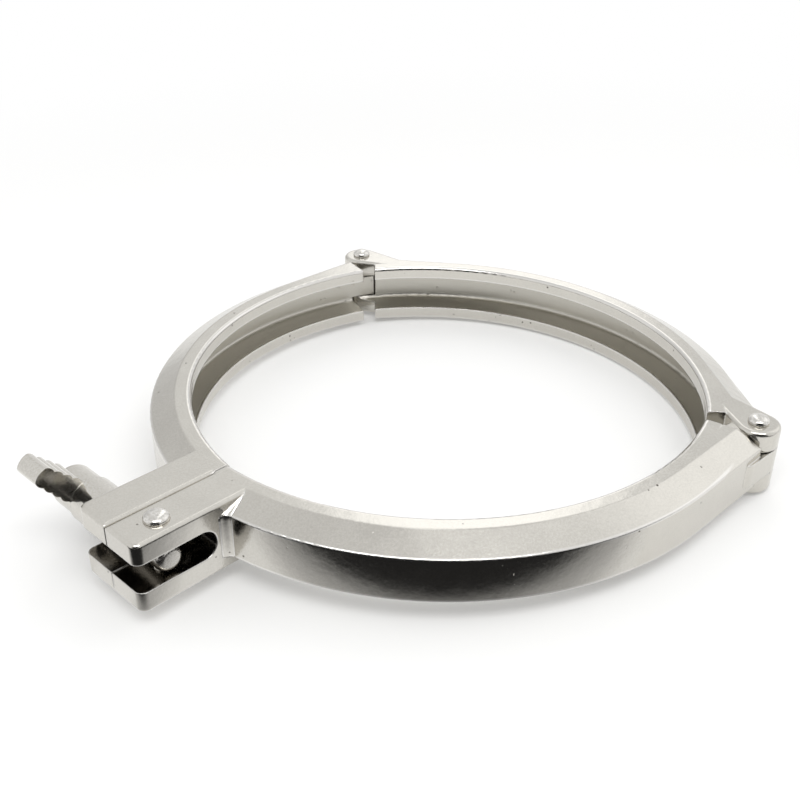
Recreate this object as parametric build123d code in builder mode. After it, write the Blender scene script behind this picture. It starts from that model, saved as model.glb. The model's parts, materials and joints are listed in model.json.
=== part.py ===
from build123d import *
import os
from math import cos, hypot, radians, sin, tan

# A cast hinged clamp for large sanitary ferrules, closed with nothing in it and lying flat.
# Three arcs hang on two riveted pins. A swing bolt pivots in the front arc's lug, lies in the
# left arc's slotted lug and carries a long wing nut. All sizes are in millimetres. The origin
# is the centre of the front arc, half way up its section, and +Z is up.

# Section shared by the three arcs
lip_radius = 87.2  # bore of the two lips
face_radius = 92.2  # outer edge of the flat top and bottom faces
wall_radius = 100.0  # upright outer wall
arc_height = 21.8
wall_height = 13.6  # upright part of the outer wall, between the two slopes
groove_radius = 96.2
groove_floor = 10.5  # height of the ferrule groove at its floor
groove_mouth = 12.6  # height of the groove between the lips
lip_round = 1.2
face_round = 1.0
wall_round = 0.4
groove_round = 1.5

# Hinges, one on the right and one at the back
pin_circle = 102.2  # from an arc's centre to its pins
right_pin_angle = -20.2
back_pin_angle = 98.4
fold = 7.4  # how far each hinge turns inwards past the round clamp
flare = 22.0  # angle before a pin at which the outer wall leaves the arc as a tangent
ear_radius = 6.7
knuckle_height = 7.8  # middle knuckle, between the two ears
ear_gap = 0.35  # above and below the knuckle
swing_gap = 0.6  # around the turning ears and knuckles
eared_end = 5.0  # from the pin to the full-height end of an arc with ears
end_rake = 11.0  # lean of the full-height ends
ear_round = 1.3
pin_radius = 2.5
pin_head_radius = 3.4
pin_head_height = 1.3
running_fit = 0.05  # radial clearance of what turns on a pin or a bolt

# Clamping lugs, which meet on a plane that stands along them
parting_angle = -132.1
parting_shift = 1.2  # of the parting plane from the front arc's centre
parting_gap = 0.4
lug_root = 88.5  # inner end of a lug, inside the arc's section
lug_reach = 127.2  # from the front arc's centre to the outer end
lug_thickness = 13.0
lug_corner = 2.5
lug_round = 1.1
slot_width = 9.0
slot_start = 102.2  # from the front arc's centre to the closed end of the bolt slots

# Swing bolt and its pivot
bolt_radius = 4.0
bolt_pivot = 115.8  # from the front arc's centre, along the lug
bolt_tail = 4.9  # from the pivot to the bolt's short end
bolt_chamfer = 0.7
pivot_radius = 2.2
pivot_head_radius = 3.2

# Wing nut
nut_length = 23.0
nut_clearance = 0.3  # to the left lug's corner as the bolt swings out
collar_radius = 7.0
collar_length = 11.0
hub_radius = 6.4
hub_round = 2.2
wing_reach = 20.0  # from the bolt's axis to a wing's tip
wing_length = 10.0  # along the bolt
wing_root = 6.6  # thickness at the hub
wing_tip = 4.7
wing_angle = 47.0  # of the raised wing above the lug's direction
ridge_count = 4
ridge_height = 0.55
bolt_recess = 1.2  # of the bolt's end inside the nut

# Worked out from the sizes above
half_height = arc_height / 2
half_wall = wall_height / 2
ear_floor = knuckle_height / 2 + ear_gap
knuckle_end = ear_radius + swing_gap
lug_middle = parting_shift + (parting_gap + lug_thickness) / 2  # of the front lug
upwards = Vector(0, 0, 1)


def direction(angle):
    return Vector(cos(radians(angle)), sin(radians(angle)), 0)


def point_at(frame, radius, angle):
    return frame.from_local_coords(direction(angle) * radius)


def folded(frame, pin_angle):
    """The next arc's frame: this one, turned inwards about the pin that they share."""
    turned = frame.rotated((0, 0, fold))
    slip = point_at(frame, pin_circle, pin_angle) - point_at(turned, pin_circle, pin_angle)
    return Plane(origin=turned.origin + slip, x_dir=turned.x_dir, z_dir=upwards)


def hinge_plane(frame, pin_angle):
    """Centred on a pin: x outwards, y counter-clockwise along the arc."""
    pin = point_at(frame, pin_circle, pin_angle)
    return Plane(origin=pin, x_dir=pin - frame.origin, z_dir=upwards)


def section_plane(frame, angle):
    """Stands on an arc's radius: x outwards, y up."""
    x_dir = (point_at(frame, 1, angle) - frame.origin).normalized()
    return Plane(origin=frame.origin, x_dir=x_dir, z_dir=x_dir.cross(upwards))


front_frame = Plane.XY
middle_frame = folded(front_frame, right_pin_angle)
left_frame = folded(middle_frame, back_pin_angle)
right_hinge_front = hinge_plane(front_frame, right_pin_angle)
right_hinge_middle = hinge_plane(middle_frame, right_pin_angle)
back_hinge_middle = hinge_plane(middle_frame, back_pin_angle)
back_hinge_left = hinge_plane(left_frame, back_pin_angle)

lug_plane = Plane(origin=(0, 0, 0), x_dir=direction(parting_angle), z_dir=upwards)
along_lug = lug_plane.x_dir
along_bolt = lug_plane.y_dir * -1
pivot = lug_plane.from_local_coords(Vector(bolt_pivot, lug_middle, 0))
pivot_plane = Plane(origin=pivot, x_dir=along_lug, z_dir=upwards)

# The nut's face clears the left lug's rounded corner as the bolt swings out.
corner_along = lug_reach - lug_corner - bolt_pivot
corner_across = 1.5 * lug_thickness + parting_gap - lug_corner
nut_start = hypot(corner_along, corner_across) + lug_corner + nut_clearance
bolt_length = bolt_tail + nut_start + nut_length - bolt_recess


def round_corners(radius, size):
    """Rounds the sketch's corners that lie at this radius of the section."""
    fillet(vertices().filter_by_position(Axis.X, radius - 0.01, radius + 0.01), size)


def section_face(plane):
    """The section's outside, as cast, before the groove is turned."""
    with BuildSketch(plane) as section:
        with BuildLine():
            Polyline(
                (lip_radius, -half_height),
                (face_radius, -half_height),
                (wall_radius, -half_wall),
                (wall_radius, half_wall),
                (face_radius, half_height),
                (lip_radius, half_height),
                close=True,
            )
        make_face()
        round_corners(lip_radius, lip_round)
        round_corners(face_radius, face_round)
        round_corners(wall_radius, wall_round)
    return section.sketch


def groove_face(plane):
    """What the groove takes out of the section, from inside the bore."""
    slope = (groove_mouth - groove_floor) / 2 / (groove_radius - lip_radius)
    inner_radius = lip_radius - 5
    inner_half = groove_floor / 2 + slope * (groove_radius - inner_radius)
    with BuildSketch(plane) as groove:
        with BuildLine():
            Polyline(
                (inner_radius, -inner_half),
                (groove_radius, -groove_floor / 2),
                (groove_radius, groove_floor / 2),
                (inner_radius, inner_half),
                close=True,
            )
        make_face()
        round_corners(groove_radius, groove_round)
    return groove.sketch


def ear_face(plane, side, tail_inside, tail_outside, tail_along):
    """A round ear on the pin, drawn out to a smaller round that lies inside the arc."""
    tail_radius = (tail_outside - tail_inside) / 2
    with BuildSketch(plane) as ear:
        Circle(ear_radius)
        with Locations((tail_inside + tail_radius - pin_circle, side * tail_along)):
            Circle(tail_radius)
        make_hull()
    return ear.sketch


def rectangle_face(plane, x_range, y_range):
    with BuildSketch(plane) as rectangle:
        with Locations(((x_range[0] + x_range[1]) / 2, (y_range[0] + y_range[1]) / 2)):
            Rectangle(x_range[1] - x_range[0], y_range[1] - y_range[0])
    return rectangle.sketch


def circle_face(plane, radius):
    with BuildSketch(plane) as circle:
        Circle(radius)
    return circle.sketch


def cast_arc(frame, start, end):
    section = section_face(section_plane(frame, start))
    revolve(section, axis=Axis(frame.origin, upwards), revolution_arc=end - start)


def flare_towards(frame, pin_angle, side):
    """Runs the section straight towards a pin. side is 1 where the arc lies counter-clockwise."""
    section = section_face(section_plane(frame, pin_angle + side * flare))
    extrude(section, amount=side * wall_radius * tan(radians(flare)))


def trim_end(hinge, side, reach):
    """Cuts an arc off on a leaning plane at this distance from its pin."""
    span = 2 * arc_height
    leaning = hinge.rotated((0, 0, side * end_rake)).offset(-arc_height)
    beyond = sorted((side * reach, -side * span))
    extrude(rectangle_face(leaning, (-span, span), beyond), amount=span, mode=Mode.SUBTRACT)


def turn_groove(frame, start, end):
    groove = groove_face(section_plane(frame, start))
    axis = Axis(frame.origin, upwards)
    revolve(groove, axis=axis, revolution_arc=end - start, mode=Mode.SUBTRACT)


def knuckle(hinge, side):
    """The middle knuckle, which grows out of the groove's wall."""
    plane = hinge.offset(-knuckle_height / 2)
    face = ear_face(plane, side, groove_radius, wall_radius + 4, 1.7 * ear_radius)
    extrude(face, amount=knuckle_height)


def ears(hinge, side):
    """The upper and lower ear, flush with the arc's flat faces."""
    plane = hinge.offset(ear_floor)
    face = ear_face(plane, side, lip_radius + lip_round, face_radius + 3, 1.8 * ear_radius)
    with BuildPart() as pair:
        extrude(face, amount=half_height - ear_floor)
        fillet(pair.edges().group_by(Axis.Z)[-1], ear_round)
        mirror(about=Plane.XY)
    return pair.part


def lug(side):
    """A slotted clamping lug. side is 1 for the front arc's and -1 for the left arc's."""
    middle = parting_shift + side * (parting_gap + lug_thickness) / 2
    slot_origin = lug_plane.from_local_coords(Vector(slot_start + slot_width / 2, middle, 0))
    slot_plane = Plane(origin=slot_origin, x_dir=along_lug, z_dir=along_bolt)
    with BuildPart() as block:
        with BuildSketch(lug_plane.offset(-half_height)):
            with Locations(((lug_root + lug_reach) / 2, middle)):
                Rectangle(lug_reach - lug_root, lug_thickness)
            outer_corners = vertices().group_by(Axis.X)[-1].sort_by(Axis.Y)
            fillet(outer_corners[-1 if side > 0 else 0], lug_corner)
        extrude(amount=arc_height)
        for level in (0, -1):
            rim = block.edges().group_by(Axis.Z)[level].sort_by(Axis((0, 0, 0), along_lug))
            fillet(rim[1:], lug_round)
        with BuildSketch(slot_plane):
            Circle(slot_width / 2)
            with Locations((lug_reach / 2, 0)):
                Rectangle(lug_reach, slot_width)
        extrude(amount=lug_thickness, both=True, mode=Mode.SUBTRACT)
    return block.part


def part_at_lugs(side):
    """Cuts an arc off at the parting plane."""
    edge = parting_shift + side * parting_gap / 2
    beyond = sorted((edge, edge - side * lug_reach))
    face = rectangle_face(lug_plane.offset(-arc_height), (0, 2 * lug_reach), beyond)
    extrude(face, amount=2 * arc_height, mode=Mode.SUBTRACT)


def rivet(plane, radius, head_radius):
    """A pin that is flush below and has a low domed head on top."""
    extrude(circle_face(plane.offset(-half_height), radius), amount=arc_height)
    head = extrude(circle_face(plane.offset(half_height), head_radius), amount=pin_head_height)
    fillet(head.edges().group_by(Axis.Z)[-1], 0.85 * pin_head_height)


with BuildPart() as front_segment:
    cast_arc(front_frame, parting_angle - 1, right_pin_angle)
    flare_towards(front_frame, right_pin_angle, -1)
    trim_end(right_hinge_front, -1, knuckle_end)
    knuckle(right_hinge_front, -1)
    part_at_lugs(1)
    add(lug(1))
    turn_groove(front_frame, parting_angle - 5, right_pin_angle + 10)
    with Locations(right_hinge_front):
        Hole(pin_radius + running_fit)
    with Locations(pivot_plane):
        Hole(pivot_radius)

with BuildPart() as middle_segment:
    cast_arc(middle_frame, right_pin_angle, back_pin_angle)
    flare_towards(middle_frame, right_pin_angle, 1)
    flare_towards(middle_frame, back_pin_angle, -1)
    for hinge, side in ((right_hinge_middle, 1), (back_hinge_middle, -1)):
        trim_end(hinge, side, eared_end)
        add(ears(hinge, side))
        pocket = circle_face(hinge.offset(-ear_floor), knuckle_end)
        extrude(pocket, amount=2 * ear_floor, mode=Mode.SUBTRACT)
    turn_groove(middle_frame, right_pin_angle - 10, back_pin_angle + 10)
    with Locations(right_hinge_middle, back_hinge_middle):
        Hole(pin_radius)

with BuildPart() as left_segment:
    cast_arc(left_frame, back_pin_angle, parting_angle + 360 - 2 * fold)
    flare_towards(left_frame, back_pin_angle, 1)
    trim_end(back_hinge_left, 1, knuckle_end)
    knuckle(back_hinge_left, 1)
    part_at_lugs(-1)
    add(lug(-1))
    turn_groove(left_frame, back_pin_angle - 10, parting_angle + 360 - 2 * fold + 5)
    with Locations(back_hinge_left):
        Hole(pin_radius + running_fit)

with BuildPart() as right_hinge_pin:
    rivet(right_hinge_middle, pin_radius, pin_head_radius)

with BuildPart() as back_hinge_pin:
    rivet(back_hinge_middle, pin_radius, pin_head_radius)

with BuildPart() as bolt_pivot_pin:
    rivet(pivot_plane, pivot_radius, pivot_head_radius)

with BuildPart() as swing_bolt:
    with BuildSketch(Plane(origin=pivot - along_bolt * bolt_tail, x_dir=along_lug, z_dir=along_bolt)):
        Circle(bolt_radius)
    extrude(amount=bolt_length)
    chamfer(swing_bolt.edges().filter_by(GeomType.CIRCLE), bolt_chamfer)
    with Locations(pivot_plane):
        Hole(pivot_radius + running_fit)

raised_wing = along_lug * cos(radians(wing_angle)) + upwards * sin(radians(wing_angle))
nut_plane = Plane(origin=pivot + along_bolt * nut_start, x_dir=raised_wing, z_dir=along_bolt)


def wing_side(side):
    """One ridged broad face of a wing, from the hub to the tip."""
    first = hub_radius + ridge_height
    pitch = (wing_reach - first) / ridge_count
    lean = (wing_root - wing_tip) / 2 / (wing_reach - hub_radius)
    corner = (hub_radius / 2, side * wing_root / 2)
    for ridge in range(ridge_count + 1):
        along = first + ridge * pitch
        valley = (along, side * (wing_root / 2 - lean * (along - hub_radius)))
        if ridge == 0:
            Line(corner, valley)
        else:
            crest = (along - pitch / 2, (corner[1] + valley[1]) / 2 + side * ridge_height)
            ThreePointArc(corner, crest, valley)
        corner = valley
    return corner


with BuildPart() as wing_nut:
    with BuildSketch(nut_plane):
        Circle(collar_radius)
    extrude(amount=collar_length)
    with BuildSketch(nut_plane.offset(collar_length)):
        Circle(hub_radius)
    extrude(amount=nut_length - collar_length)
    far_rim = wing_nut.faces().sort_by(Axis(nut_plane.origin, along_bolt))[-1].edges()
    fillet(far_rim, hub_round)
    with BuildSketch(nut_plane.offset(collar_length)):
        with BuildLine():
            upper = wing_side(1)
            lower = wing_side(-1)
            ThreePointArc(upper, (wing_reach + ridge_height, 0), lower)
            Line((hub_radius / 2, wing_root / 2), (hub_radius / 2, -wing_root / 2))
        make_face()
        mirror(about=Plane.YZ)
    extrude(amount=wing_length)
    with BuildSketch(nut_plane):
        Circle(bolt_radius + running_fit)
    extrude(amount=nut_length, mode=Mode.SUBTRACT)

pieces = {
    "front_segment": front_segment,
    "middle_segment": middle_segment,
    "left_segment": left_segment,
    "right_hinge_pin": right_hinge_pin,
    "back_hinge_pin": back_hinge_pin,
    "bolt_pivot_pin": bolt_pivot_pin,
    "swing_bolt": swing_bolt,
    "wing_nut": wing_nut,
}
os.makedirs("parts", exist_ok=True)
for label, piece in pieces.items():
    piece.part.label = label
    export_step(piece.part, f"parts/{label}.step")
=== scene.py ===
import json
from math import cos, pi, radians, sin, tau

import bmesh
import bpy
from mathutils import Matrix, Quaternion, Vector


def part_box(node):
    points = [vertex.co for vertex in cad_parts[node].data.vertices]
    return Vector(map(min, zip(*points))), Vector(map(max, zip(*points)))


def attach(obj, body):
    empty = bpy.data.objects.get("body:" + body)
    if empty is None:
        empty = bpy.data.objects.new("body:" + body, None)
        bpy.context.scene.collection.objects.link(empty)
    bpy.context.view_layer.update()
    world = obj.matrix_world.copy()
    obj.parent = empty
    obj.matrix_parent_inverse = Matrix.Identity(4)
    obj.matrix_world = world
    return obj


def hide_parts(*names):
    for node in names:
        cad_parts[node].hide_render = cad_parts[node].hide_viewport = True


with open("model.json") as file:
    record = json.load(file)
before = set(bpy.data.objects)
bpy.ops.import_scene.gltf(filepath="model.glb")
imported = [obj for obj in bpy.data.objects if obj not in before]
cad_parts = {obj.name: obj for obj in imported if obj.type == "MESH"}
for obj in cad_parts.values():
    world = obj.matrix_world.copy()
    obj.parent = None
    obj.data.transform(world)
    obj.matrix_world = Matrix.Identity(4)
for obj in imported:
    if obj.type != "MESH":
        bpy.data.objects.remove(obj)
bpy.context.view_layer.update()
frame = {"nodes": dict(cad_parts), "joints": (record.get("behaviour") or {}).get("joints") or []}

# ---- Camera ---------------------------------------------------------------
# A camera on a stand in front of the clamp, looking down on it from a little
# under thirty degrees, close enough for the front arc to loom over the back.
MM = 0.001
camera_reach = 360.13 * MM
camera_rise = radians(29.72)
camera_pan = 0.03447
camera_tilt = -0.01296
camera_roll = radians(1.414)
focal_length = 48.42
sensor_width = 36
nearest_sight = 10 * MM

away = Vector((0, -cos(camera_rise), sin(camera_rise)))
camera_place = away * camera_reach
right = Vector((1, 0, 0))
up = right.cross(-away)
turn = Quaternion(up, camera_pan) @ Quaternion(right, camera_tilt)
right, up, away = turn @ right, turn @ up, turn @ away
camera_right = right * cos(camera_roll) + up * sin(camera_roll)
camera_up = up * cos(camera_roll) - right * sin(camera_roll)
camera_data = bpy.data.cameras.new("stand_camera")
camera_data.lens = focal_length
camera_data.sensor_width = sensor_width
camera_data.clip_start = nearest_sight
camera = bpy.data.objects.new("stand_camera", camera_data)
camera.matrix_world = Matrix.Translation(camera_place) @ Matrix(
    (camera_right, camera_up, away)
).transposed().to_4x4()
bpy.context.scene.collection.objects.link(camera)
bpy.context.scene.camera = camera


# ---- Tabletop and light tent ----------------------------------------------
# The clamp lies on a white acrylic sheet inside a light tent: pale all round,
# with the dark opening of the tent on the side that the camera looks in from.
bpy.context.scene.view_settings.view_transform = "Standard"


def colour(code):
    """An sRGB hex colour as linear RGBA."""
    channels = [int(code[i : i + 2], 16) / 255 for i in (1, 3, 5)]
    linear = [c / 12.92 if c <= 0.04045 else ((c + 0.055) / 1.055) ** 2.4 for c in channels]
    return (*linear, 1)


def add_node(tree, kind, inputs=None, **settings):
    """A node with its settings, its inputs set to values or linked to sockets.

    A node that is given as an input stands for the first of its outputs in use.
    """
    node = tree.nodes.new(kind)
    for name, value in settings.items():
        setattr(node, name, value)
    for socket, value in (inputs or {}).items():
        if isinstance(value, bpy.types.Node):
            value = next(output for output in value.outputs if output.enabled)
        if isinstance(value, bpy.types.NodeSocket):
            tree.links.new(value, node.inputs[socket])
        else:
            node.inputs[socket].default_value = value
    return node


def bare_material(name):
    """A new material and its node tree, which is still empty."""
    material = bpy.data.materials.new(name)
    material.use_nodes = True
    material.node_tree.nodes.clear()
    return material, material.node_tree


# The lower wing of the nut props the lug side up, so the sheet lies at a slant to the
# clamp: it passes under that wing and touches the underside on the far side of the ring.
ring_reach = 96 * MM
wing_low, wing_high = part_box("wing_nut")
ring_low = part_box("front_segment")[0].z
prop = Vector(((wing_low.x + wing_high.x) / 2, (wing_low.y + wing_high.y) / 2, 0))
downhill = prop.normalized()
slant = (ring_low - wing_low.z) / (prop.length + ring_reach)


def flat_sheet(name, x_range, y_range, lift, material):
    """A rectangle that lies on the slanting tabletop."""
    corners = []
    for y in y_range:
        for x in x_range:
            fall = slant * (downhill.x * x + downhill.y * y + ring_reach)
            corners.append((x, y, ring_low - fall + lift))
    mesh = bpy.data.meshes.new(name)
    mesh.from_pydata(corners, [], [(0, 1, 3, 2)])
    mesh.materials.append(material)
    piece = bpy.data.objects.new(name, mesh)
    bpy.context.scene.collection.objects.link(piece)
    return piece


# White acrylic: matt to the eye, so it takes the clamp's soft shadow. Past that shadow
# the sheet turns as white as the wall of the tent behind it.
table_reach = 20.0
shadow_reach = 0.2
all_white_reach = 0.5
white_share_near = 0.2
acrylic, tree = bare_material("white_acrylic_sheet")
path = add_node(tree, "ShaderNodeLightPath")
seen = add_node(
    tree, "ShaderNodeMath",
    {0: path.outputs["Is Camera Ray"], 1: path.outputs["Is Glossy Ray"]},
    operation="MAXIMUM",
)
place = add_node(tree, "ShaderNodeTexCoord").outputs["Object"]
spread = add_node(tree, "ShaderNodeVectorMath", {0: place}, operation="LENGTH")
white_share = add_node(
    tree, "ShaderNodeMapRange",
    {"Value": spread, "From Min": shadow_reach, "From Max": all_white_reach,
     "To Min": white_share_near, "To Max": 1.0},
    interpolation_type="SMOOTHSTEP",
)
glow = add_node(tree, "ShaderNodeMath", {0: seen, 1: white_share}, operation="MULTIPLY")
matt = add_node(tree, "ShaderNodeBsdfDiffuse", {"Color": colour("#FBFBFA")})
white = add_node(tree, "ShaderNodeEmission", {"Color": colour("#FFFFFF")})
sheet = add_node(tree, "ShaderNodeMixShader", {0: glow, 1: matt, 2: white})
add_node(tree, "ShaderNodeOutputMaterial", {"Surface": sheet})
table_range = (-table_reach, table_reach)
flat_sheet("acrylic_sheet", table_range, table_range, 0, acrylic)

# A glowing card that only reflections see, a painted reflection: black away from the clamp,
# it fades to the white of the sheet beside it, and so shapes the dark sheen on the front wall.
card_lift = 0.2 * MM
card_side = 600 * MM
card_far, card_near = -900 * MM, -86 * MM
card_edge = -109.5 * MM
card_skew = 0.06
# How far nearer to the clamp than the card's edge, in mm, and the grey there.
card_fade = ((-4, 0.02), (0, 0.2), (4, 0.42), (9, 0.56), (17, 1.0))
reflection_card_glow, tree = bare_material("painted_reflection_card")
place = add_node(tree, "ShaderNodeTexCoord").outputs["Object"]
spot = add_node(tree, "ShaderNodeSeparateXYZ", {0: place})
edge_there = add_node(
    tree, "ShaderNodeMath", {0: spot.outputs["X"], 1: card_skew, 2: card_edge},
    operation="MULTIPLY_ADD",
)
nearer = add_node(
    tree, "ShaderNodeMath", {0: spot.outputs["Y"], 1: edge_there}, operation="SUBTRACT"
)
fade_start, fade_end = card_fade[0][0] * MM, card_fade[-1][0] * MM
share = add_node(
    tree, "ShaderNodeMapRange",
    {"Value": nearer, "From Min": fade_start, "From Max": fade_end},
)
reflection_fade = add_node(tree, "ShaderNodeValToRGB", {"Fac": share})
stops = reflection_fade.color_ramp.elements
stops[0].color = (*[card_fade[0][1]] * 3, 1)
stops[1].color = (*[card_fade[-1][1]] * 3, 1)
for distance, grey in card_fade[1:-1]:
    stop = stops.new((distance * MM - fade_start) / (fade_end - fade_start))
    stop.color = (grey, grey, grey, 1)
# The card glows in these greys: a painted reflection, though it is no lamp.
reflection_glow = add_node(tree, "ShaderNodeEmission", {"Color": reflection_fade})
add_node(tree, "ShaderNodeOutputMaterial", {"Surface": reflection_glow})
card = flat_sheet(
    "graded_card", (-card_side, card_side), (card_far, card_near), card_lift, reflection_card_glow
)
card.visible_camera = False
card.visible_diffuse = False
card.visible_shadow = False

# The tent, which is a little darker overhead. Directions count from its back.
roof_start, roof_end = 0.6, 0.98
wall_light, roof_light = 0.94, 0.8
opening_rise = radians(12)
opening_clear, opening_full = 0.72, 0.88
opening_light = 0.02
# Brighter and darker patches of its wall: azimuth, height, the angles from the middle
# at which the patch is full and gone, and what it adds to the light.
patches = (
    (60, 38, 10, 30, 0.36),
    (100, 75, 8, 25, 0.2),
    (-42, 14, 12, 30, -0.22),
    (36, 5, 6, 18, -0.14),
    (17, 30, 4, 10, -0.06),
)
window_azimuth = radians(2.5)
window_full, window_gone = radians(6.5), radians(10.5)
window_light = 0.75
sill_start, sill_end = 0.3, 0.4

world = bpy.data.worlds.new("light_tent")
world.use_nodes = True
bpy.context.scene.world = world
tree = world.node_tree
tree.nodes.clear()
direction = add_node(tree, "ShaderNodeTexCoord").outputs["Generated"]
height = add_node(tree, "ShaderNodeSeparateXYZ", {0: direction}).outputs["Z"]
tent = add_node(
    tree, "ShaderNodeMapRange",
    {"Value": height, "From Min": roof_start, "From Max": roof_end,
     "To Min": wall_light, "To Max": roof_light},
    interpolation_type="SMOOTHSTEP",
)
for azimuth, rise, full, gone, gain in patches:
    turned, raised = radians(azimuth), radians(rise)
    towards = (sin(turned) * cos(raised), cos(turned) * cos(raised), sin(raised))
    likeness = add_node(
        tree, "ShaderNodeVectorMath", {0: direction, 1: towards}, operation="DOT_PRODUCT"
    )
    patch = add_node(
        tree, "ShaderNodeMapRange",
        {"Value": likeness, "From Min": cos(radians(gone)), "From Max": cos(radians(full)),
         "To Max": gain},
        interpolation_type="SMOOTHSTEP",
    )
    tent = add_node(tree, "ShaderNodeMath", {0: tent, 1: patch}, operation="ADD")

# A tall lit window in the back of the tent, from its sill to the roof.
level = add_node(
    tree, "ShaderNodeVectorMath", {0: direction, 1: (1, 1, 0)}, operation="MULTIPLY"
)
level = add_node(tree, "ShaderNodeVectorMath", {0: level}, operation="NORMALIZE")
likeness = add_node(
    tree, "ShaderNodeVectorMath",
    {0: level, 1: (sin(window_azimuth), cos(window_azimuth), 0)},
    operation="DOT_PRODUCT",
)
window = add_node(
    tree, "ShaderNodeMapRange",
    {"Value": likeness, "From Min": cos(window_gone), "From Max": cos(window_full),
     "To Max": window_light},
    interpolation_type="SMOOTHSTEP",
)
sill = add_node(
    tree, "ShaderNodeMapRange",
    {"Value": height, "From Min": sill_start, "From Max": sill_end},
    interpolation_type="SMOOTHSTEP",
)
window = add_node(tree, "ShaderNodeMath", {0: window, 1: sill}, operation="MULTIPLY")
tent = add_node(tree, "ShaderNodeMath", {0: tent, 1: window}, operation="ADD")

# The dark opening. The camera itself sees the tent as plain white.
facing = add_node(
    tree, "ShaderNodeVectorMath",
    {0: direction, 1: (0.0, -cos(opening_rise), sin(opening_rise))},
    operation="DOT_PRODUCT",
)
opening = add_node(
    tree, "ShaderNodeMapRange",
    {"Value": facing, "From Min": opening_clear, "From Max": opening_full},
    interpolation_type="SMOOTHSTEP",
)
tent = add_node(
    tree, "ShaderNodeMix", {"Factor": opening, "A": tent, "B": opening_light},
    data_type="FLOAT",
)
path = add_node(tree, "ShaderNodeLightPath")
shown = add_node(
    tree, "ShaderNodeMix", {"Factor": path.outputs["Is Camera Ray"], "A": tent, "B": 1.0},
    data_type="FLOAT",
)
background = add_node(
    tree, "ShaderNodeBackground", {"Color": colour("#FFFFFF"), "Strength": shown}
)
add_node(tree, "ShaderNodeOutputWorld", {"Surface": background})

# A long softbox over the opening, aimed at the clamp.
softbox_place = Vector((0.05, -0.42, 0.72))
softbox_width, softbox_depth = 0.75, 0.3
softbox_watts = 2.6
softbox_data = bpy.data.lights.new("front_softbox", "AREA")
softbox_data.shape = "RECTANGLE"
softbox_data.size, softbox_data.size_y = softbox_width, softbox_depth
softbox_data.energy = softbox_watts
softbox = bpy.data.objects.new("front_softbox", softbox_data)
softbox.location = softbox_place
softbox.rotation_euler = (-softbox_place).to_track_quat("-Z", "Y").to_euler()
bpy.context.scene.collection.objects.link(softbox)


# ---- Three clamp arcs -----------------------------------------------------
# Investment castings in 316 stainless steel, each a channel bent to an arc.
# They are shot blasted, then tumbled in stone, which leaves the faces satin
# and rubs the rounded edges bright; the groove inside stays as cast.
lip_radius = 87.2 * MM
wall_radius = 100 * MM
groove_radius = 96.2 * MM
arc_half = 10.9 * MM
wall_half = 6.8 * MM
mouth_half = 6.3 * MM
slot_bottom = 97.7 * MM
slot_half = 4.5 * MM
slot_side = 13.4 * MM
middle_centre = (-3.7463 * MM, -12.6472 * MM)
left_centre = (8.6875 * MM, -8.2442 * MM)
lug_turn = radians(-132.1)
along_lug = Vector((cos(lug_turn), sin(lug_turn), 0))
across_lug = Vector((-sin(lug_turn), cos(lug_turn), 0))
# Edges that tumbling rubs bright: radius, height, and how far the rubbing reaches.
rubbed_edges = (
    (lip_radius, arc_half, 1.5 * MM),
    (wall_radius, wall_half, 0.9 * MM),
    (lip_radius, mouth_half, 0.7 * MM),
)


def region(tree, *limits):
    """A mask that is 1 in one region of the casting, and 0 around it.

    Each limit is a value, and what it comes to where the region has gone and where it
    is full. The region is what lies within all of them.
    """
    mask = 1.0
    for value, gone, full in limits:
        within = add_node(
            tree, "ShaderNodeMapRange",
            {"Value": value, "From Min": gone, "From Max": full},
            interpolation_type="SMOOTHSTEP",
        )
        mask = add_node(tree, "ShaderNodeMath", {0: mask, 1: within}, operation="MULTIPLY")
    return mask


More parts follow.
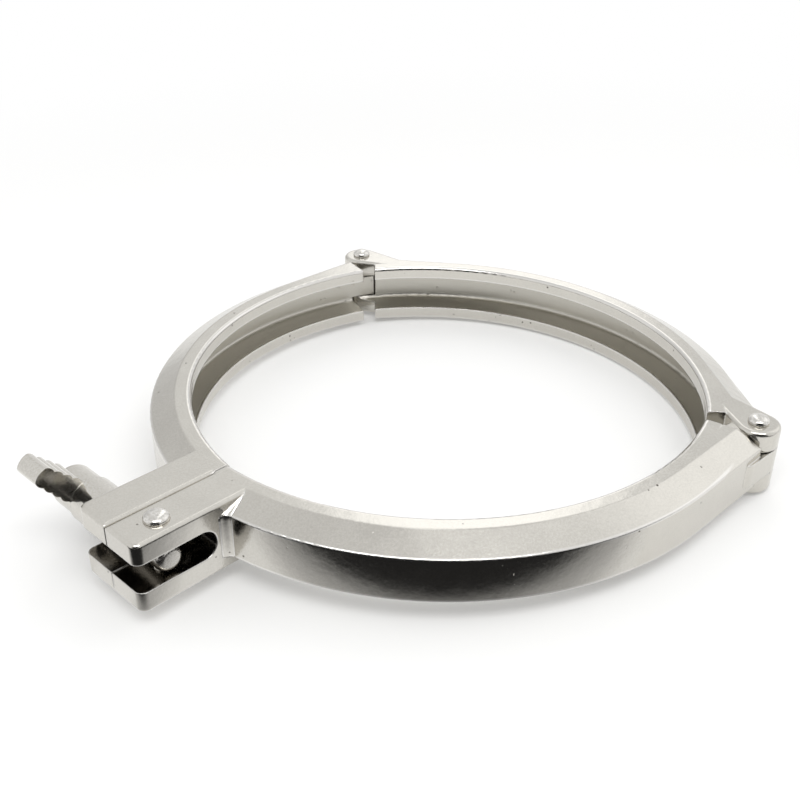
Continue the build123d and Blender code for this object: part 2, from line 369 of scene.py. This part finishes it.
def cast_stainless(name, centre):
    """Investment-cast 316 stainless, blasted and tumbled, for an arc about centre.

    To the eye it is a pale satin grey with a fine even grain, brighter and smoother on
    the rounded edges, duller in the groove, with painted shade in the slot, and pitted
    in a few places where the casting was porous.
    """
    dull_face, pale_face = "#CAC7C0", "#D2CFC8"
    # The dark grey is painted shade in the slot, and the dark of the pits.
    slot_shade_and_pit_grey, bright_edge, as_cast = "#6E6A63", "#DEDCD8", "#C9C6BE"
    smooth_satin, rough_satin = 0.14, 0.21
    rubbed_smooth, as_cast_rough = 0.1, 0.36
    blast_grain, blast_relief = 0.55 * MM, 0.009
    cloud_size = 9 * MM
    wave_size, wave_relief = 4 * MM, 0.06
    pit_spacing, pit_patch, pit_depth = 3.2 * MM, 22 * MM, 0.25
    edge_round = 0.6 * MM

    # Where on the casting: the distance from the arc's axis, the height over the
    # middle plane, and the place along and across the lug.
    material, tree = bare_material(name)
    place = add_node(tree, "ShaderNodeTexCoord").outputs["Object"]
    from_centre = add_node(
        tree, "ShaderNodeVectorMath", {0: place, 1: (*centre, 0)}, operation="SUBTRACT"
    )
    level = add_node(
        tree, "ShaderNodeVectorMath", {0: from_centre, 1: (1, 1, 0)}, operation="MULTIPLY"
    )
    radius = add_node(tree, "ShaderNodeVectorMath", {0: level}, operation="LENGTH")
    height = add_node(tree, "ShaderNodeSeparateXYZ", {0: place}).outputs["Z"]
    height = add_node(tree, "ShaderNodeMath", {0: height}, operation="ABSOLUTE")
    section = add_node(tree, "ShaderNodeCombineXYZ", {0: radius, 1: height})
    along = add_node(
        tree, "ShaderNodeVectorMath", {0: place, 1: along_lug}, operation="DOT_PRODUCT"
    )
    across = add_node(
        tree, "ShaderNodeVectorMath", {0: place, 1: across_lug}, operation="DOT_PRODUCT"
    )
    across = add_node(tree, "ShaderNodeMath", {0: across}, operation="ABSOLUTE")
    in_groove = region(
        tree,
        (radius, lip_radius + 0.4 * MM, lip_radius + 1.2 * MM),
        (radius, groove_radius + 0.6 * MM, groove_radius + 0.3 * MM),
        (height, mouth_half + 0.3 * MM, mouth_half - 0.1 * MM),
    )
    # The slot, which is painted with shade.
    in_slot = region(
        tree,
        (along, slot_bottom - 0.2 * MM, slot_bottom + 0.1 * MM),
        (height, slot_half + 0.1 * MM, slot_half + 0.02 * MM),
        (across, slot_side + 0.8 * MM, slot_side),
    )
    # Tumbling rubs every sharp edge, and farther along the long ones of the channel.
    rounded = add_node(tree, "ShaderNodeBevel", {"Radius": edge_round}, samples=6)
    facing = add_node(tree, "ShaderNodeNewGeometry").outputs["Normal"]
    likeness = add_node(
        tree, "ShaderNodeVectorMath", {0: rounded, 1: facing}, operation="DOT_PRODUCT"
    )
    rubbed = region(tree, (likeness, 0.99, 0.9))
    for edge_radius, edge_height, reach in rubbed_edges:
        gap = add_node(
            tree, "ShaderNodeVectorMath", {0: section, 1: (edge_radius, edge_height, 0)},
            operation="DISTANCE",
        )
        near = region(tree, (gap, reach, reach * 0.35))
        rubbed = add_node(tree, "ShaderNodeMath", {0: rubbed, 1: near}, operation="MAXIMUM")

    # The grit's own grain is about 0.1 mm, too fine to show, so it is drawn coarser.
    clouds = add_node(
        tree, "ShaderNodeTexNoise",
        {"Vector": place, "Scale": 1 / cloud_size, "Detail": 4.0, "Roughness": 0.55},
    )
    speckle = add_node(
        tree, "ShaderNodeTexNoise",
        {"Vector": place, "Scale": 1 / blast_grain, "Detail": 4.0, "Roughness": 0.7},
    )
    waves = add_node(
        tree, "ShaderNodeTexNoise",
        {"Vector": place, "Scale": 1 / wave_size, "Detail": 2.0, "Roughness": 0.55},
    )
    porous = add_node(
        tree, "ShaderNodeTexNoise",
        {"Vector": place, "Scale": 1 / pit_patch, "Detail": 1.0, "Roughness": 0.55},
    )
    nearest_pit = add_node(
        tree, "ShaderNodeTexVoronoi", {"Vector": place, "Scale": 1 / pit_spacing}
    )
    pits = region(tree, (nearest_pit, 0.12, 0.07), (porous, 0.56, 0.6))
    tone = add_node(
        tree, "ShaderNodeMix", {"Factor": 0.7, "A": clouds, "B": speckle}, data_type="FLOAT"
    )

    paleness = add_node(
        tree, "ShaderNodeMapRange", {"Value": tone, "From Min": 0.36, "From Max": 0.64},
        interpolation_type="SMOOTHSTEP",
    )
    steel = add_node(
        tree, "ShaderNodeMix",
        {"Factor": paleness, "A": colour(dull_face), "B": colour(pale_face)},
        data_type="RGBA",
    )
    # Painted shade in the slot, and the darker pits.
    slot_shade_and_pits = add_node(
        tree, "ShaderNodeMath", {0: in_slot, 1: pits}, operation="MAXIMUM"
    )
    for mask, code in ((slot_shade_and_pits, slot_shade_and_pit_grey), (rubbed, bright_edge), (in_groove, as_cast)):
        steel = add_node(
            tree, "ShaderNodeMix", {"Factor": mask, "A": steel, "B": colour(code)},
            data_type="RGBA",
        )
    roughness = add_node(
        tree, "ShaderNodeMapRange",
        {"Value": tone, "From Min": 0.35, "From Max": 0.65,
         "To Min": smooth_satin, "To Max": rough_satin},
        interpolation_type="SMOOTHSTEP",
    )
    for mask, rough in ((rubbed, rubbed_smooth), (in_groove, as_cast_rough)):
        roughness = add_node(
            tree, "ShaderNodeMix", {"Factor": mask, "A": roughness, "B": rough},
            data_type="FLOAT",
        )

    # The relief adds up in mm: waves from the mould, less the pits, and the blasting.
    blasting = add_node(
        tree, "ShaderNodeMix", {"Factor": rubbed, "A": blast_relief, "B": blast_relief / 4},
        data_type="FLOAT",
    )
    waves = add_node(tree, "ShaderNodeMath", {0: waves, 1: wave_relief}, operation="MULTIPLY")
    relief = add_node(
        tree, "ShaderNodeMath", {0: pits, 1: -pit_depth, 2: waves}, operation="MULTIPLY_ADD"
    )
    relief = add_node(
        tree, "ShaderNodeMath", {0: speckle, 1: blasting, 2: relief},
        operation="MULTIPLY_ADD",
    )
    bump = add_node(
        tree, "ShaderNodeBump",
        {"Height": relief, "Distance": MM, "Strength": 1.0, "Normal": rounded},
    )
    metal = add_node(
        tree, "ShaderNodeBsdfPrincipled",
        {"Base Color": steel, "Metallic": 1.0, "Roughness": roughness, "Normal": bump},
    )
    add_node(tree, "ShaderNodeOutputMaterial", {"Surface": metal})
    return material


def finish_with(node, material):
    """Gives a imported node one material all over."""
    surface = frame["nodes"][node].data.materials
    surface.clear()
    surface.append(material)


front_steel = cast_stainless("tumbled_front_segment", (0, 0))
middle_steel = cast_stainless("tumbled_middle_segment", middle_centre)
left_steel = cast_stainless("tumbled_left_segment", left_centre)
finish_with("front_segment", front_steel)
finish_with("middle_segment", middle_steel)
finish_with("left_segment", left_steel)


# ---- Blends of the lugs ---------------------------------------------------
# Each clamping lug is cast in one with its arc. The mould's hollow corner
# where the lug's side meets the arc's wall dies out towards the flat faces.
face_radius = 92.2 * MM
blend_radius = 2.8 * MM
blend_tip = 0.5 * MM
blend_height = 10.3 * MM
blend_root = 1.0 * MM
blend_levels = 24
blend_steps = 12
front_lug_side = 14.4 * MM
left_lug_side = -12.0 * MM
sharp_corner = radians(35)


def finished_piece(mesh, name, body, material):
    """The mesh as a piece on a body, shaded smooth but for its sharp corners."""
    bmesh.ops.recalc_face_normals(mesh, faces=mesh.faces)
    for face in mesh.faces:
        face.smooth = True
    for edge in mesh.edges:
        edge.smooth = edge.calc_face_angle(0) < sharp_corner
    data = bpy.data.meshes.new(name)
    mesh.to_mesh(data)
    mesh.free()
    data.materials.append(material)
    piece = bpy.data.objects.new(name, data)
    bpy.context.scene.collection.objects.link(piece)
    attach(piece, body)
    return piece


def lug_blend(name, body, centre, lug_side, outward, material):
    """A hollow corner between a lug's side, at lug_side across it, and its arc."""
    middle = Vector((*centre, 0))
    middle_along, middle_across = middle.dot(along_lug), middle.dot(across_lug)
    slope = (wall_radius - face_radius) / (arc_half - wall_half)
    start = -outward * pi / 2
    mesh = bmesh.new()
    rows = []
    for level in range(blend_levels + 1):
        # The blend touches the arc's upright wall, and its slopes above and below.
        height = blend_height * (2 * level / blend_levels - 1)
        above_wall = max(0, abs(height) - wall_half)
        reach = wall_radius - above_wall * slope
        fade = above_wall / (blend_height - wall_half)
        hollow = blend_radius + (blend_tip - blend_radius) * fade
        hollow_across = (lug_side - middle_across) + outward * hollow
        hollow_along = ((reach + hollow) ** 2 - hollow_across**2) ** 0.5
        towards = Vector((-hollow_along, -hollow_across)).normalized()
        sweep = Vector((cos(start), sin(start))).angle_signed(towards)
        points = []
        for step in range(blend_steps + 1):
            angle = start - sweep * step / blend_steps
            points.append(
                (hollow_along + hollow * cos(angle), hollow_across + hollow * sin(angle))
            )
        # Its back is a corner that lies hidden inside the casting.
        points.append((points[-1][0] - blend_root, points[0][1] - outward * blend_root))
        rows.append([
            mesh.verts.new(
                along_lug * (middle_along + along)
                + across_lug * (middle_across + across)
                + Vector((0, 0, height))
            )
            for along, across in points
        ])
    for low, high in zip(rows, rows[1:]):
        for corner in range(len(low)):
            after = (corner + 1) % len(low)
            mesh.faces.new((low[corner], low[after], high[after], high[corner]))
    mesh.faces.new(rows[0])
    mesh.faces.new(rows[-1])
    finished_piece(mesh, name, body, material)


lug_blend("front_lug_blend", "front_arc", (0, 0), front_lug_side, 1, front_steel)
lug_blend("left_lug_blend", "left_arc", left_centre, left_lug_side, -1, left_steel)


# ---- Rivets ---------------------------------------------------------------
# Plain stainless pins through the hinge knuckles and the bolt. One end of
# each is peened over into a low dome, which the tumbling has rubbed bright.
rivet_segments = 48
foot_chamfer = 0.2 * MM
head_bevel = 0.15 * MM
head_edge = 0.45 * MM
dome_steps = 12
dome_fullness = 0.8
joints = {joint["name"]: joint for joint in frame["joints"]}


def turned_stainless(name, dull_steel, pale_steel, smooth, rough):
    """Turned stainless that has been tumbled: clean and even grey steel to the eye.

    Its shine is as soft as the castings', with only the faintest waves in it. The
    grain that tumbling leaves is too fine to show, so it is drawn coarser.
    """
    tumbled_grain = 0.5 * MM
    wave_size, wave_relief = 2.0 * MM, 0.02
    edge_round = 0.25 * MM
    material, tree = bare_material(name)
    place = add_node(tree, "ShaderNodeTexCoord").outputs["Object"]
    speckle = add_node(
        tree, "ShaderNodeTexNoise",
        {"Vector": place, "Scale": 1 / tumbled_grain, "Detail": 3.0, "Roughness": 0.55},
    )
    paleness = add_node(
        tree, "ShaderNodeMapRange", {"Value": speckle, "From Min": 0.35, "From Max": 0.65},
        interpolation_type="SMOOTHSTEP",
    )
    steel = add_node(
        tree, "ShaderNodeMix",
        {"Factor": paleness, "A": colour(dull_steel), "B": colour(pale_steel)},
        data_type="RGBA",
    )
    roughness = add_node(
        tree, "ShaderNodeMapRange",
        {"Value": speckle, "From Min": 0.35, "From Max": 0.65,
         "To Min": smooth, "To Max": rough},
        interpolation_type="SMOOTHSTEP",
    )
    waves = add_node(
        tree, "ShaderNodeTexNoise",
        {"Vector": place, "Scale": 1 / wave_size, "Detail": 2.0, "Roughness": 0.55},
    )
    relief = add_node(tree, "ShaderNodeMath", {0: waves, 1: wave_relief}, operation="MULTIPLY")
    rounded = add_node(tree, "ShaderNodeBevel", {"Radius": edge_round}, samples=6)
    bump = add_node(
        tree, "ShaderNodeBump",
        {"Height": relief, "Distance": MM, "Strength": 1.0, "Normal": rounded},
    )
    metal = add_node(
        tree, "ShaderNodeBsdfPrincipled",
        {"Base Color": steel, "Metallic": 1.0, "Roughness": roughness, "Normal": bump},
    )
    add_node(tree, "ShaderNodeOutputMaterial", {"Surface": metal})
    return material


def join_rings(mesh, rings):
    """Faces between neighbouring rings, which are whole turns or single points."""
    for low, high in zip(rings, rings[1:]):
        for k in range(max(len(low), len(high))):
            corners = [low[k % len(low)], low[(k + 1) % len(low)],
                       high[(k + 1) % len(high)], high[k % len(high)]]
            mesh.faces.new(list(dict.fromkeys(corners)))


rivet_steel = turned_stainless("peened_stainless_pin", "#CFCCC6", "#E2E0DC", 0.12, 0.22)
for name, node, joint, body, shank, head, rise in (
    ("right_hinge_rivet", "right_hinge_pin", "right_hinge", "middle_arc",
     2.5 * MM, 3.2 * MM, 2.1 * MM),
    ("back_hinge_rivet", "back_hinge_pin", "back_hinge", "middle_arc",
     2.5 * MM, 3.2 * MM, 2.1 * MM),
    ("bolt_rivet", "bolt_pivot_pin", "bolt_swing", "front_arc",
     2.2 * MM, 3.6 * MM, 2.0 * MM),
):
    outline = [
        (0, -arc_half), (shank - foot_chamfer, -arc_half), (shank, -arc_half + foot_chamfer),
        (shank, arc_half), (head - head_bevel, arc_half), (head, arc_half + head_bevel),
    ]
    for step in range(1, dome_steps):
        angle = pi / 2 * step / dome_steps
        outline.append((
            head * cos(angle) ** dome_fullness,
            arc_half + head_edge + (rise - head_edge) * sin(angle),
        ))
    outline.append((0, arc_half + rise))
    axis = Vector(joints[joint]["pos_m"])
    mesh = bmesh.new()
    rings = []
    for radius, height in outline:
        turns = rivet_segments if radius else 1
        ring = []
        for k in range(turns):
            angle = tau * k / turns
            around = Vector((radius * cos(angle), radius * sin(angle), height))
            ring.append(mesh.verts.new(axis + around))
        rings.append(ring)
    join_rings(mesh, rings)
    rivet = finished_piece(mesh, name, body, rivet_steel)
    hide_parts(node)


# ---- Swing bolt -----------------------------------------------------------
# An M8 stainless bolt. Its tail, where it swings on the rivet, is rounded off, and a
# thread of 1.25 mm pitch is rolled from there to the tip.
bolt_radius = 4.0 * MM
bolt_tail = 4.9 * MM
tail_round = 1.8 * MM
tail_steps = 6
thread_start = 8.0 * MM
thread_pitch = 1.25 * MM
thread_depth = 0.68 * MM
# Of one pitch: half of the flat crest, and one flank.
half_crest, flank = 1 / 24, 5 / 12
tip_chamfer = 0.7 * MM
tip_recess = 1.2 * MM
nut_length = 23.0 * MM
bolt_segments = 48
stations_per_turn = 8
along_bolt = Vector(joints["nut_spin"]["axis"])
bolt_pivot = Vector(joints["bolt_swing"]["pos_m"])
nut_face = Vector(joints["nut_spin"]["pos_m"])
bolt_tip = (nut_face - bolt_pivot).length + (nut_length - tip_recess)
upright = Vector((0, 0, 1))
bolt_side = along_bolt.cross(upright)


def thread_cut(along, turn):
    """How far the thread lies below the crests at this place."""
    run_in = min(1, max(0, (along - thread_start) / thread_pitch))
    phase = (along / thread_pitch - turn) % 1
    down_flank = min(1, max(0, (abs(phase - 0.5) - half_crest) / flank))
    return thread_depth * run_in * down_flank


stations = [(-bolt_tail, 0.0)]
for step in range(tail_steps + 1):
    angle = pi / 2 * step / tail_steps
    stations.append((
        -bolt_tail + tail_round * (1 - cos(angle)),
        bolt_radius - tail_round * (1 - sin(angle)),
    ))
station_gap = thread_pitch / stations_per_turn
count = int((bolt_tip - tip_chamfer - thread_start) / thread_pitch * stations_per_turn)
stations += [(thread_start + step * station_gap, bolt_radius) for step in range(count + 1)]
stations += [(bolt_tip, bolt_radius - thread_depth), (bolt_tip, 0.0)]
mesh = bmesh.new()
rings = []
for along, radius in stations:
    turns = bolt_segments if radius else 1
    at_end = along in (-bolt_tail, bolt_tip)
    ring = []
    for k in range(turns):
        reach = radius if at_end else radius - thread_cut(along, k / turns)
        spread = bolt_side * cos(tau * k / turns) + upright * sin(tau * k / turns)
        ring.append(mesh.verts.new(bolt_pivot + along_bolt * along + spread * reach))
    rings.append(ring)
join_rings(mesh, rings)
bolt_steel = turned_stainless("rolled_stainless_bolt", "#B4B1AB", "#CBC8C3", 0.18, 0.3)
bolt = finished_piece(mesh, "threaded_swing_bolt", "bolt", bolt_steel)
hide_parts("swing_bolt")


# ---- Wing nut -------------------------------------------------------------
# A long cast stainless wing nut, blasted and tumbled like the arcs, with the
# ends of its wings ridged for the fingers.
nut_steel = turned_stainless("tumbled_wing_nut", "#CAC7C0", "#D4D1CB", 0.13, 0.19)
finish_with("wing_nut", nut_steel)
